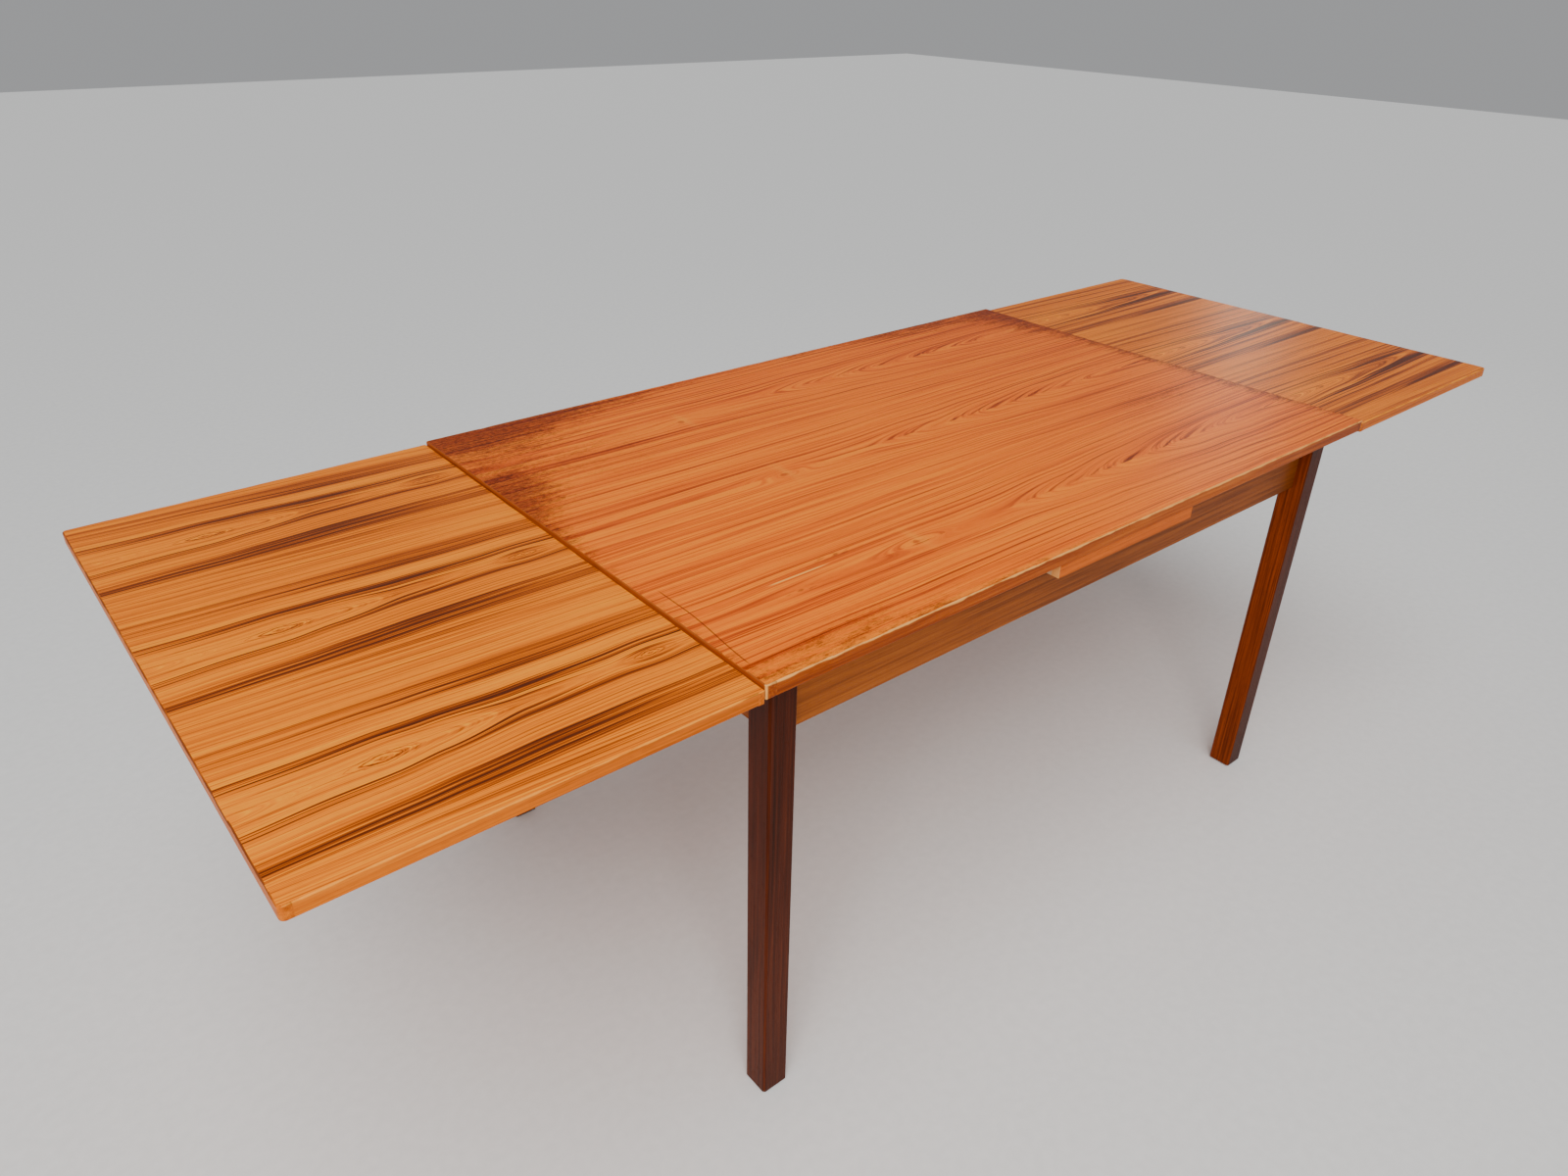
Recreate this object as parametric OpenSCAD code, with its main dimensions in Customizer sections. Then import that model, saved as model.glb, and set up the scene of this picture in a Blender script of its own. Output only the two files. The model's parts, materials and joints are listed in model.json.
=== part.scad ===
// Draw-leaf dining table with both leaves drawn out, in millimetres.
// Origin on the floor under the middle of the main top. +X runs along the table, +Y to its back.

/* [Main top] */
// Height of the main top's surface above the floor
table_h = 730; // [700:1:760]
// Length of the main top
top_l = 1300; // [1200:10:1400]
// Width of the main top and of the leaves
table_w = 850; // [800:10:950]
// Thickness of the main top
top_t = 19; // [18:0.5:24]
// Width of the solid lippings across the ends of the main top
end_lip_w = 15; // [10:1:25]
// Width of the solid lippings along the sides of the main top
side_lip_w = 6; // [4:1:12]

/* [Leaves] */
// Length of each leaf along the table
leaf_l = 500; // [450:5:500]
// Thickness of each leaf
leaf_t = 17; // [15:0.5:17]
// How far a drawn leaf's surface lies below the main top's
leaf_step = 5; // [3:0.5:6]
// Open joint between the main top's end and a drawn leaf
joint_gap = 1.5; // [1:0.5:3]
// Radius of the leaves' outer corners
leaf_corner_r = 6; // [2:1:12]
// Play between a drawn leaf and its stops
stop_play = 8; // [4:1:12]

/* [Bearers] */
// Thickness of each tapered bearer
bearer_t = 24; // [18:1:26]
// Distance of the left leaf's bearers from the table's middle line
left_bearer_y = 250; // [245:1:260]
// Distance of the right leaf's bearers from the table's middle line
right_bearer_y = 215; // [200:1:218]
// How far a drawn bearer runs past the table's middle
bearer_past = 60; // [40:5:80]

/* [Frame] */
// Side of the square legs
leg_w = 42; // [40:1:55]
// Distance from the main top's end to a leg
leg_in_x = 35; // [25:1:50]
// Distance from the main top's long side to a leg
leg_in_y = 36; // [25:1:50]
// Height of the aprons and end rails
apron_h = 84; // [80:1:100]
// Thickness of the aprons and end rails
apron_t = 22; // [18:1:22]
// How far the aprons lie behind the legs' outer faces
apron_in = 19; // [10:1:20]
// Length of the fixed centre board along the table
board_l = 306; // [290:2:306]
// Thickness of the fixed centre board
board_t = 18; // [16:0.5:18]
// How far the centre board lies behind the main top's long edge
board_in = 4; // [2:1:12]

/* [Hidden] */

$fn = 48;
LEFT = -1;
RIGHT = 1;
FRONT = -1;
BACK = 1;
ENDS = [LEFT, RIGHT];
SIDES = [FRONT, BACK];
past = 1; // how far a cutter runs past a face

// levels above the floor
glide_t = 3;
felt_t = 2.7;
top_under = table_h - top_t;
felt_gap = 3;
board_top = top_under - felt_gap;
frame_top = board_top - board_t;
frame_low = frame_top - apron_h;
leaf_top = table_h - leaf_step;
leaf_under = leaf_top - leaf_t;
closed_gap = 1;
closed_leaf_top = top_under - closed_gap;

// plan positions, measured outwards from the table's middle
leg_x = top_l / 2 - leg_in_x;
leg_y = table_w / 2 - leg_in_y;
apron_y = leg_y - apron_in;
rail_x = leg_x - apron_in;
rail_in_x = rail_x - apron_t;
apron_in_y = apron_y - apron_t;
board_y = table_w / 2 - board_in;
leaf_in_x = top_l / 2 + joint_gap;
leaf_out_x = leaf_in_x + leaf_l;

// a leaf falls by this much for each millimetre that it goes in
travel = leaf_in_x - board_l / 2 - 1.5;
slope = (leaf_top - closed_leaf_top) / travel;

// small parts of the top and the leaves
top_corner_r = 2;
leaf_lip_out = 12;
leaf_lip_in = 8;
leaf_lip_side = 6;

// bearers and the notches that they run in
bearer_free = 0.5;
notch_play = 0.4;
bearer_depth = 43;
bearer_out_x = leaf_out_x - 40;
bearer_nose = 25;
bearer_tip = 16;
bearer_shoulder = 3;
stop_t = 12;
stop_l = 20;
stop_h = 30;
stop_up = 6;
stop_x = rail_in_x - stop_play - 0.3;
screw_r = 2;
screw_head_r = 4.2;
screw_head_t = 3;
screw_grip = 20;
screw_bite = 12;
bearer_screw_first = 60;
bearer_screw_gap = 180;
bearer_screw_x = [for (i = [0:2]) leaf_in_x + bearer_screw_first + i * bearer_screw_gap];

// pegs, pads and board screws
peg_x = 80;
peg_r = 9;
peg_tenon_r = 7;
peg_tenon = 10;
peg_l = 50;
peg_tip = 4;
peg_tip_in = 3;
peg_play = 0.5;
felt_r = 10;
felt_x = 130;
felt_y = [130, 385];
board_lip_w = 12;
board_screw_x = 110;
board_screw_l = 45;
board_screw_y = apron_y - apron_t / 2;

// corners
block_side = 65;
block_cut = 12;
block_h = 60;
block_up = 12;
block_z = frame_low + block_up;
block_face = block_side / sqrt(2);
block_screw_x = 40;
block_screw_z = 12;
block_screw_in = 14;
block_screw_deep = block_side - block_screw_x - screw_head_t;
bolt_z = block_z + block_h / 2;
bolt_r = 4;
bolt_play = 0.5;
bolt_in_leg = 26;
bolt_out = 14;
washer_r = 10;
washer_t = 2;
nut_r = 7.5;
nut_t = 6.5;
leg_chamfer = 3;
glide_r = 12;
glide_pin_r = 2.5;
glide_pin = 14;
glide_edge = 1;
centre_rail_t = 20;

// height of a bearer's sloping upper and lower edges, at a distance u from the middle
function edge_top(u) = frame_top - bearer_free + slope * (u - board_l / 2);
function edge_low(u) = edge_top(u) - bearer_depth;
function bearer_y(side) = side == LEFT ? left_bearer_y : right_bearer_y;

// a box between two opposite corners
module block(low, high) {
    translate(low) cube(high - low);
}

// a thin round rod or hole
module rod(r, h) {
    cylinder(r = r, h = h, $fn = 24);
}

// draws its children at the given end of the table, built for the right end
module at_end(side) {
    mirror([side == LEFT ? 1 : 0, 0, 0]) children();
}

// draws its children at the given long side, built for the back
module at_side(way) {
    mirror([0, way == FRONT ? 1 : 0, 0]) children();
}

module rounded_plan(low, high, r) {
    x = high[0] - r;
    difference() {
        translate(low) square(high - low);
        for (way = SIDES) {
            y = way * (high[1] - r);
            difference() {
                translate([x, way == FRONT ? low[1] : y]) square([r, r]);
                translate([x, y]) circle(r);
            }
        }
    }
}

// ---- main top ----

module top_panel() {
    x = top_l / 2 - end_lip_w;
    y = table_w / 2 - side_lip_w;
    color("#b8602b") difference() {
        block([-x, -y, top_under], [x, y, table_h]);
        for (s = ENDS)
            translate([s * peg_x, 0, top_under - past])
                cylinder(r = peg_tenon_r, h = peg_tenon + past);
    }
}

module top_end_lipping(side) {
    x = top_l / 2;
    y = table_w / 2;
    color("#9c4a22") at_end(side)
        translate([0, 0, top_under]) linear_extrude(top_t)
            intersection() {
                rounded_plan([0, -y], [x, y], top_corner_r);
                translate([x - end_lip_w, -y]) square([end_lip_w, table_w]);
            }
}

module top_side_lipping(way) {
    x = top_l / 2 - end_lip_w;
    y = table_w / 2;
    color("#a9562a") at_side(way) block([-x, y - side_lip_w, top_under], [x, y, table_h]);
}

module guide_peg(side) {
    color("#d9b483") translate([side * peg_x, 0, top_under]) {
        cylinder(r = peg_tenon_r, h = peg_tenon);
        translate([0, 0, peg_tip - peg_l]) cylinder(r = peg_r, h = peg_l - peg_tip);
        translate([0, 0, -peg_l]) cylinder(r1 = peg_r - peg_tip_in, r2 = peg_r, h = peg_tip);
    }
}

// ---- leaves ----

module leaf_panel(side) {
    y = table_w / 2 - leaf_lip_side;
    color("#d98a3a") at_end(side) difference() {
        block([leaf_in_x + leaf_lip_in, -y, leaf_under], [leaf_out_x - leaf_lip_out, y, leaf_top]);
        for (way = SIDES, x = bearer_screw_x)
            translate([x, way * bearer_y(side), leaf_under - past])
                rod(screw_r, screw_bite + past);
    }
}

module leaf_outer_lipping(side) {
    y = table_w / 2;
    color("#c0722c") at_end(side)
        translate([0, 0, leaf_under]) linear_extrude(leaf_t)
            intersection() {
                rounded_plan([leaf_in_x, -y], [leaf_out_x, y], leaf_corner_r);
                translate([leaf_out_x - leaf_lip_out, -y]) square([leaf_lip_out, table_w]);
            }
}

module leaf_inner_lipping(side) {
    y = table_w / 2;
    color("#c0722c") at_end(side)
        block([leaf_in_x, -y, leaf_under], [leaf_in_x + leaf_lip_in, y, leaf_top]);
}

module leaf_side_lipping(side, way) {
    y = table_w / 2;
    color("#cc7c33") at_end(side) at_side(way)
        block([leaf_in_x + leaf_lip_in, y - leaf_lip_side, leaf_under],
              [leaf_out_x - leaf_lip_out, y, leaf_top]);
}

// a bearer in profile: level where it carries the leaf, then sloping down to its inner end
module bearer_profile() {
    shoulder = leaf_in_x + bearer_shoulder;
    nose = bearer_out_x - bearer_nose;
    polygon([
        [-bearer_past, edge_low(-bearer_past)],
        [nose, edge_low(nose)],
        [bearer_out_x, leaf_under - bearer_tip],
        [bearer_out_x, leaf_under],
        [shoulder, leaf_under],
        [shoulder, edge_top(shoulder)],
        [-bearer_past, edge_top(-bearer_past)]
    ]);
}

module bearer(side, way) {
    y = bearer_y(side);
    color("#d8b27c") at_end(side) at_side(way) difference() {
        translate([0, y + bearer_t / 2, 0]) rotate([90, 0, 0]) linear_extrude(bearer_t)
            bearer_profile();
        for (x = bearer_screw_x) translate([x, y, leaf_under]) {
            translate([0, 0, -screw_grip - past]) rod(screw_r, screw_grip + 2 * past);
            translate([0, 0, -2 * bearer_depth]) rod(screw_head_r, 2 * bearer_depth - screw_grip);
        }
    }
}

// blocks that meet the end rail's inner face when the leaf is drawn to its limit
module bearer_stops(side) {
    face = side == LEFT ? left_bearer_y + bearer_t / 2 : right_bearer_y - bearer_t / 2 - stop_t;
    low = edge_low(stop_x) + stop_up;
    color("#c79c63") at_end(side) for (way = SIDES)
        at_side(way) block([stop_x - stop_l, face, low], [stop_x, face + stop_t, low + stop_h]);
}

module bearer_screws(side) {
    color("#b9b3a2") at_end(side) for (way = SIDES, x = bearer_screw_x)
        translate([x, way * bearer_y(side), leaf_under - screw_grip]) {
            rod(screw_r, screw_grip + screw_bite);
            translate([0, 0, -screw_head_t]) rod(screw_head_r, screw_head_t);
        }
}

// ---- fixed centre board ----

module board_peg_holes() {
    for (s = ENDS)
        translate([s * peg_x, 0, frame_top - past])
            cylinder(r = peg_r + peg_play, h = board_t + 2 * past);
}

module centre_board() {
    x = board_l / 2;
    y = board_y - board_lip_w;
    color("#d3a566") difference() {
        block([-x, -y, frame_top], [x, y, board_top]);
        board_peg_holes();
        for (s = ENDS, way = SIDES)
            translate([s * board_screw_x, way * board_screw_y, board_top]) {
                translate([0, 0, -board_t - past]) rod(screw_r, board_t + 2 * past);
                translate([0, 0, -screw_head_t]) rod(screw_head_r, screw_head_t + past);
            }
    }
}

module centre_board_lip(way) {
    x = board_l / 2;
    color("#b5652f") at_side(way)
        block([-x, board_y - board_lip_w, frame_top], [x, board_y, board_top]);
}

module centre_board_screws() {
    color("#b9b3a2") for (s = ENDS, way = SIDES)
        translate([s * board_screw_x, way * board_screw_y, board_top]) {
            translate([0, 0, -screw_head_t]) rod(screw_head_r, screw_head_t);
            translate([0, 0, -board_screw_l]) rod(screw_r, board_screw_l - screw_head_t);
        }
}

module felt_pads() {
    color("#3d5a3f") for (s = ENDS, way = SIDES, y = felt_y)
        translate([s * felt_x, way * y, board_top]) cylinder(r = felt_r, h = felt_t);
}

// ---- frame ----

module apron(way) {
    x = leg_x - leg_w;
    color("#a65a2e") at_side(way) difference() {
        block([-x, apron_in_y, frame_low], [x, apron_y, frame_top]);
        for (s = ENDS) {
            translate([s * board_screw_x, board_screw_y, board_top - board_screw_l])
                rod(screw_r, board_screw_l);
            in_corner(s, BACK) {
                corner_screw(-block_screw_in) rod(screw_r, block_screw_in + past);
                bolt_bore(bolt_r + bolt_play);
            }
        }
    }
}

module end_rail(side) {
    y = leg_y - leg_w;
    floor_z = edge_low(rail_in_x) - notch_play;
    half = bearer_t / 2 + bearer_free;
    color("#a65a2e") at_end(side) difference() {
        block([rail_in_x, -y, frame_low], [rail_x, y, frame_top]);
        for (way = SIDES) {
            mid = way * bearer_y(side);
            block([rail_in_x - past, mid - half, floor_z],
                  [rail_x + past, mid + half, frame_top + past]);
            in_corner(RIGHT, way) bolt_bore(bolt_r + bolt_play);
        }
    }
}

// carries and guides the inner ends of all four bearers
module centre_rail() {
    x = centre_rail_t / 2;
    floor_z = edge_low(-x) - notch_play;
    half = bearer_t / 2 + bearer_free;
    color("#cfa468") difference() {
        block([-x, -apron_in_y, frame_low], [x, apron_in_y, frame_top]);
        for (y = [left_bearer_y, right_bearer_y], way = SIDES)
            block([-x - past, way * y - half, floor_z],
                  [x + past, way * y + half, frame_top + past]);
    }
}

// places its children at a corner, with x and y running inwards from the rail and the apron
module in_corner(side, way) {
    at_end(side) at_side(way) translate([rail_in_x, apron_in_y, 0]) mirror([1, 0, 0])
        mirror([0, 1, 0]) children();
}

// turns its children so that +Z runs from the leg through the corner block
module along_bolt(from) {
    translate([from / sqrt(2), from / sqrt(2), bolt_z]) rotate([0, 0, 45]) rotate([0, 90, 0])
        children();
}

// the hanger bolt's hole, from its end in the leg and out through the corner block
module bolt_bore(r) {
    along_bolt(-bolt_in_leg) cylinder(r = r, h = bolt_in_leg + block_side);
}

module corner_block(side, way) {
    color("#cba26a") in_corner(side, way) difference() {
        translate([0, 0, block_z]) linear_extrude(block_h)
            polygon([[block_cut, 0], [block_side, 0], [0, block_side], [0, block_cut]]);
        bolt_bore(bolt_r);
        corner_screw(-past) rod(screw_r, block_side);
        corner_screw(block_screw_deep) rod(screw_head_r, block_side);
    }
}

// the line of each screw through the corner block, from the depth y below its apron face
module corner_screw(y) {
    for (z = [block_z + block_screw_z, block_z + block_h - block_screw_z])
        translate([block_screw_x, y, z]) rotate([-90, 0, 0]) children();
}

module corner_block_screws() {
    color("#b9b3a2") for (side = ENDS, way = SIDES) in_corner(side, way) {
        corner_screw(-block_screw_in) rod(screw_r, block_screw_in + block_screw_deep);
        corner_screw(block_screw_deep) rod(screw_head_r, screw_head_t);
    }
}

module hanger_bolts() {
    color("#a8a39a") for (side = ENDS, way = SIDES) in_corner(side, way)
        along_bolt(-bolt_in_leg) cylinder(r = bolt_r, h = bolt_in_leg + block_face + bolt_out);
}

module bolt_washers() {
    color("#b4b0a8") for (side = ENDS, way = SIDES) in_corner(side, way)
        along_bolt(block_face) difference() {
            cylinder(r = washer_r, h = washer_t);
            translate([0, 0, -past]) cylinder(r = bolt_r, h = washer_t + 2 * past);
        }
}

module bolt_nuts() {
    color("#9c978e") for (side = ENDS, way = SIDES) in_corner(side, way)
        along_bolt(block_face + washer_t) difference() {
            cylinder(r = nut_r, h = nut_t, $fn = 6);
            translate([0, 0, -past]) cylinder(r = bolt_r, h = nut_t + 2 * past);
        }
}

module leg_plan() {
    c = leg_chamfer;
    w = leg_w;
    polygon([[c, 0], [w - c, 0], [w, c], [w, w - c], [w - c, w], [c, w], [0, w - c], [0, c]]);
}

module leg(side, way) {
    color("#5e2616") difference() {
        at_end(side) at_side(way) translate([leg_x - leg_w, leg_y - leg_w, glide_t])
            linear_extrude(frame_top - glide_t) leg_plan();
        in_corner(side, way) bolt_bore(bolt_r);
        glide_place(side, way) rod(glide_pin_r, glide_t + glide_pin);
    }
}

module glide_place(side, way) {
    translate([side * (leg_x - leg_w / 2), way * (leg_y - leg_w / 2), 0]) children();
}

module glide(side, way) {
    color("#e4e0d4") glide_place(side, way) {
        cylinder(r1 = glide_r - glide_edge, r2 = glide_r, h = glide_edge);
        translate([0, 0, glide_edge]) cylinder(r = glide_r, h = glide_t - glide_edge);
        translate([0, 0, glide_t]) rod(glide_pin_r, glide_pin);
    }
}

top_panel();
top_end_lipping(LEFT);  // top_lipping_left
top_end_lipping(RIGHT);  // top_lipping_right
top_side_lipping(FRONT);  // top_lipping_front
top_side_lipping(BACK);  // top_lipping_back
guide_peg(LEFT);  // guide_peg_left
guide_peg(RIGHT);  // guide_peg_right
leaf_panel(LEFT);  // left_leaf_panel
leaf_outer_lipping(LEFT);  // left_leaf_lipping_outer
leaf_inner_lipping(LEFT);  // left_leaf_lipping_inner
leaf_side_lipping(LEFT, FRONT);  // left_leaf_lipping_front
leaf_side_lipping(LEFT, BACK);  // left_leaf_lipping_back
bearer(LEFT, FRONT);  // left_bearer_front
bearer(LEFT, BACK);  // left_bearer_back
bearer_stops(LEFT);  // left_bearer_stops
bearer_screws(LEFT);  // left_bearer_screws
leaf_panel(RIGHT);  // right_leaf_panel
leaf_outer_lipping(RIGHT);  // right_leaf_lipping_outer
leaf_inner_lipping(RIGHT);  // right_leaf_lipping_inner
leaf_side_lipping(RIGHT, FRONT);  // right_leaf_lipping_front
leaf_side_lipping(RIGHT, BACK);  // right_leaf_lipping_back
bearer(RIGHT, FRONT);  // right_bearer_front
bearer(RIGHT, BACK);  // right_bearer_back
bearer_stops(RIGHT);  // right_bearer_stops
bearer_screws(RIGHT);  // right_bearer_screws
centre_board();
centre_board_lip(FRONT);  // centre_board_lip_front
centre_board_lip(BACK);  // centre_board_lip_back
centre_board_screws();
felt_pads();
apron(FRONT);  // apron_front
apron(BACK);  // apron_back
end_rail(LEFT);  // end_rail_left
end_rail(RIGHT);  // end_rail_right
centre_rail();
corner_block(LEFT, FRONT);  // corner_block_front_left
corner_block(RIGHT, FRONT);  // corner_block_front_right
corner_block(LEFT, BACK);  // corner_block_back_left
corner_block(RIGHT, BACK);  // corner_block_back_right
corner_block_screws();
hanger_bolts();
bolt_washers();
bolt_nuts();
leg(LEFT, FRONT);  // leg_front_left
leg(RIGHT, FRONT);  // leg_front_right
leg(LEFT, BACK);  // leg_back_left
leg(RIGHT, BACK);  // leg_back_right
glide(LEFT, FRONT);  // glide_front_left
glide(RIGHT, FRONT);  // glide_front_right
glide(LEFT, BACK);  // glide_back_left
glide(RIGHT, BACK);  // glide_back_right
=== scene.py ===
"""The looks of a draw-leaf teak dining table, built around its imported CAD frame."""
import json
import math

import bmesh
import bpy
from mathutils import Matrix, Vector, noise


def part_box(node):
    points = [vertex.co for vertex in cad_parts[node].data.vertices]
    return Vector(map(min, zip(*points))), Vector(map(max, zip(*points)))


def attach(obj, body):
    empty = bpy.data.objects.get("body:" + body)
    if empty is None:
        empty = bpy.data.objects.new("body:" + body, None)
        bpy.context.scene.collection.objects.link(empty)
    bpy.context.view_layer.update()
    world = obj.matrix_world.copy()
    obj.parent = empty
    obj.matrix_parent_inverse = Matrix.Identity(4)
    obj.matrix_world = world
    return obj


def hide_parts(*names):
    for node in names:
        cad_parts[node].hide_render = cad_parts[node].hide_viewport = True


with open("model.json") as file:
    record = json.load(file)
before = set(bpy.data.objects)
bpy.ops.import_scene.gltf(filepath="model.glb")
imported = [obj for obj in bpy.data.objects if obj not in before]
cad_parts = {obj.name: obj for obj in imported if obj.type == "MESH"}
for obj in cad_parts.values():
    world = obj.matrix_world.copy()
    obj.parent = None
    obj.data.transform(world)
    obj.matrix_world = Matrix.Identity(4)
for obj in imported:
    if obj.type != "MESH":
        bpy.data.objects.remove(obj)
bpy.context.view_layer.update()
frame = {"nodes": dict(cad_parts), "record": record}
nodes = frame["nodes"]

# ---- the table's main places, from the frame ----

TOP_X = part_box("top_lipping_right")[1].x
TOP_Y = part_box("top_lipping_back")[1].y
TOP_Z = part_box("top_panel")[1].z
LEAF_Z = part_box("left_leaf_panel")[1].z
LEAF_OUT_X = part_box("right_leaf_lipping_outer")[1].x
APRON_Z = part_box("apron_front")[1].z
BOARD_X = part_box("centre_board_lip_front")[0].x
RIGHT_LEG_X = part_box("leg_front_right")[0].x

# ---- radii of the lippings' edges, and widths of their wear and painted shade, in metres ----

ARRIS = 0.0016
INNER_ARRIS = 0.0006
CORNER = 0.002
LEAF_CORNER = 0.006
INNER_CORNER = 0.0015
TOP_WEAR_AND_SHADE = 0.0030
LEAF_WEAR = 0.0024
DENT_IN = 0.0007
DENT_DOWN = 0.0004
SLICE = 0.02

# ---- how a face's normal is judged ----

LEVEL = 0.97
NEARLY_LEVEL = 0.9
SQUARE = 0.98
OUTWARD = 0.2


# ---- colours of the wood, from dark to light ----

TOP_RAMP = [
    (0.10, (0.20, 0.020, 0.002)), (0.34, (0.56, 0.070, 0.002)),
    (0.55, (0.86, 0.145, 0.002)), (0.85, (1.00, 0.250, 0.005)),
]
LEAF_RAMP = [
    (0.05, (0.09, 0.016, 0.005)), (0.28, (0.27, 0.046, 0.003)), (0.50, (0.68, 0.140, 0.002)),
    (0.70, (0.93, 0.240, 0.003)), (0.95, (1.00, 0.400, 0.010)),
]
LIP = [(0.14, 0.017, 0.002), (0.38, 0.066, 0.003), (0.60, 0.140, 0.008)]
GOLD = [(0.38, 0.065, 0.003), (0.68, 0.150, 0.004), (0.84, 0.230, 0.008)]
APRON = [(0.14, 0.030, 0.005), (0.34, 0.084, 0.010), (0.48, 0.135, 0.016)]
BOARD_EDGE = [(0.36, 0.050, 0.003), (0.62, 0.115, 0.004), (0.76, 0.165, 0.008)]
LEG = [(0.022, 0.003, 0.001), (0.062, 0.008, 0.002), (0.125, 0.020, 0.004)]

# ---- colours of worn edges, of painted shade and dark ends on the arrises, and the tint of oiled wood's gloss ----

CREAM = (0.88, 0.42, 0.11)
HONEY = (0.92, 0.33, 0.03)
# Dark brown for the leaves' end arrises.
DARK_END = (0.16, 0.035, 0.01)
# Painted shade along the main top's end arrises, where the main top meets the leaves.
END_ARRIS_SHADE = (0.34, 0.080, 0.014)
OILED = (1.0, 0.62, 0.32)

# ---- the main top's veneer, in metres ----

TOP_SEAM_Y = 0.277
TOP_SHEET = 0.283
KNOT_X = -0.279
KNOT_YS = (0.256, -0.010, -0.284)
# How far the rings open around each sheet's back seam, along x.
TOP_SPREAD = [
    (-0.65, 0.0036), (-0.12, 0.0034), (0.05, 0.0026), (0.20, 0.0015), (0.35, 0.0006),
    (0.50, 0.0001), (0.66, 0.0),
]
# How strongly the feathered strokes show, along x.
TOP_FIGURE = [
    (-0.12, 0.0), (0.00, 0.75), (0.15, 1.0), (0.30, 0.9), (0.44, 0.45), (0.56, 0.15),
    (0.68, 0.0),
]
# Pools of darkened finish: x, y, reach along x, reach along y, strength.
PATINA_POOLS = [
    (-0.60, 0.40, 0.15, 0.085, 1.15), (-0.40, 0.42, 0.20, 0.045, 0.75),
    (-0.635, 0.17, 0.06, 0.10, 0.85), (-0.655, 0.02, 0.03, 0.14, 0.6),
    (-0.50, 0.22, 0.16, 0.11, 0.32), (-0.54, -0.405, 0.20, 0.045, 0.42),
    (-0.20, -0.43, 0.30, 0.016, 0.5), (-0.655, -0.28, 0.02, 0.14, 0.4),
    (0.64, 0.34, 0.09, 0.13, 0.80), (0.665, 0.10, 0.045, 0.22, 0.85),
    (0.45, 0.42, 0.20, 0.05, 0.65), (0.10, 0.435, 0.35, 0.030, 0.55),
    (0.48, -0.14, 0.12, 0.05, 0.35), (0.66, -0.25, 0.04, 0.2, 0.75),
]


# ---- node helper ----


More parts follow.
